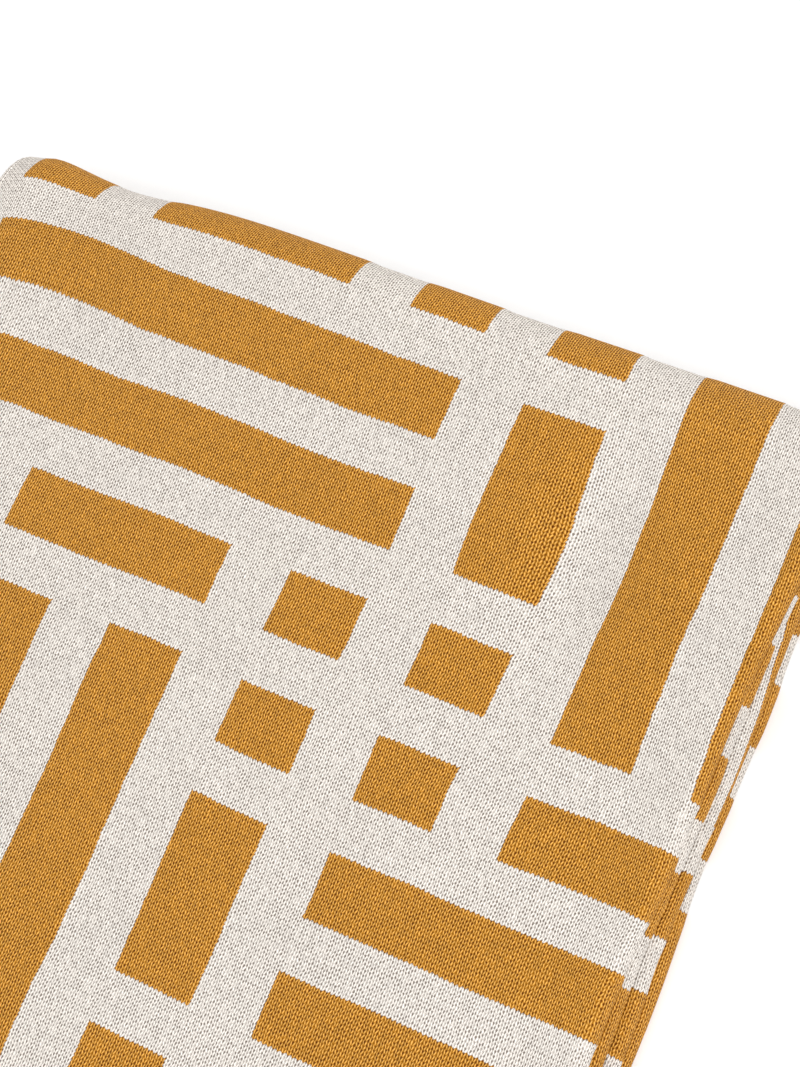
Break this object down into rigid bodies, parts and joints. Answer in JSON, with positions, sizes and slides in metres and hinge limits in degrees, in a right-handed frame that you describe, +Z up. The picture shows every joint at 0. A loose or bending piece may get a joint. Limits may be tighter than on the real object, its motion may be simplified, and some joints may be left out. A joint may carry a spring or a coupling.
{
  "type": "folded throw blanket",
  "caption": "Knitted throw blanket with a two-colour block pattern, folded in thirds across and in quarters along into a flat square stack.",
  "frame": {"origin": "centre of the stack's underside, on the surface that it lies on", "axes": "+X to the right across the throw's width, +Y towards the last rounded fold, +Z up"},
  "size_m": [0.4372, 0.4308, 0.0553],
  "materials": {
    "jacquard_knit": "matt double-jacquard cotton knit, mustard and ivory",
    "hem_band": "matt tubular knitted edge band, ivory, linked with ivory thread"
  },
  "bodies": {
    "lower_half": {"end_hem": "hem_band", "far_fold_left_side_hem": "hem_band", "far_fold_right_side_hem": "hem_band", "inner_far_fold_left_flap": "jacquard_knit", "inner_far_fold_middle_third": "jacquard_knit", "inner_far_fold_right_flap": "jacquard_knit", "leaf_1_left_flap": "jacquard_knit", "leaf_1_middle_third": "jacquard_knit", "leaf_1_right_flap": "jacquard_knit", "leaf_2_left_flap": "jacquard_knit", "leaf_2_middle_third": "jacquard_knit", "leaf_2_right_flap": "jacquard_knit", "lower_left_side_hem": "hem_band", "lower_right_side_hem": "hem_band", "outer_far_fold_left_flap": "jacquard_knit", "outer_far_fold_middle_third": "jacquard_knit", "outer_far_fold_right_flap": "jacquard_knit", "start_hem": "hem_band"},
    "upper_half": {"leaf_3_left_flap": "jacquard_knit", "leaf_3_middle_third": "jacquard_knit", "leaf_3_right_flap": "jacquard_knit", "leaf_4_left_flap": "jacquard_knit", "leaf_4_middle_third": "jacquard_knit", "leaf_4_right_flap": "jacquard_knit", "near_fold_left_flap": "jacquard_knit", "near_fold_middle_third": "jacquard_knit", "near_fold_right_flap": "jacquard_knit", "upper_left_side_hem": "hem_band", "upper_right_side_hem": "hem_band"}
  },
  "joints": [
    {"name": "unfold", "type": "hinge", "parent": "lower_half", "child": "upper_half", "pos_m": [0, 0.18775, 0.02768], "axis": [-1, 0, 0], "range_deg": [0, 179.9], "deforming": ["far_fold_left_side_hem", "far_fold_right_side_hem", "inner_far_fold_left_flap", "inner_far_fold_middle_third", "inner_far_fold_right_flap", "outer_far_fold_left_flap", "outer_far_fold_middle_third", "outer_far_fold_right_flap"]}
  ]
}
